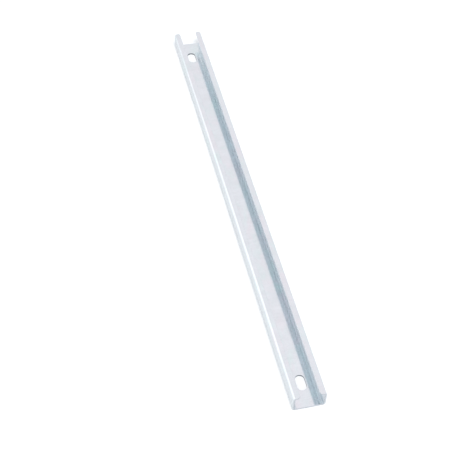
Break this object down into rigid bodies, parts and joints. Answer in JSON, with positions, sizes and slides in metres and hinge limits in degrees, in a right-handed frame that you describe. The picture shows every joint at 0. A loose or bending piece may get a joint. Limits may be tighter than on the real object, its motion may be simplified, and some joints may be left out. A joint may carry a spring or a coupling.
{
  "type": "c-rail",
  "caption": "Length of lipped C-section steel rail, open along its front, with a lengthwise slot through the web near each end for screwing it down.",
  "frame": {"origin": "centre of the back of the web, which is the face the rail lies on", "axes": "+Y along the rail, +X across it, +Z from the web out through the open side between the lips"},
  "size_m": [0.03, 0.5, 0.018],
  "materials": {
    "zinc_steel": "zinc-plated, satin"
  },
  "bodies": {
    "root": {"c_rail": "zinc_steel"}
  },
  "joints": []
}
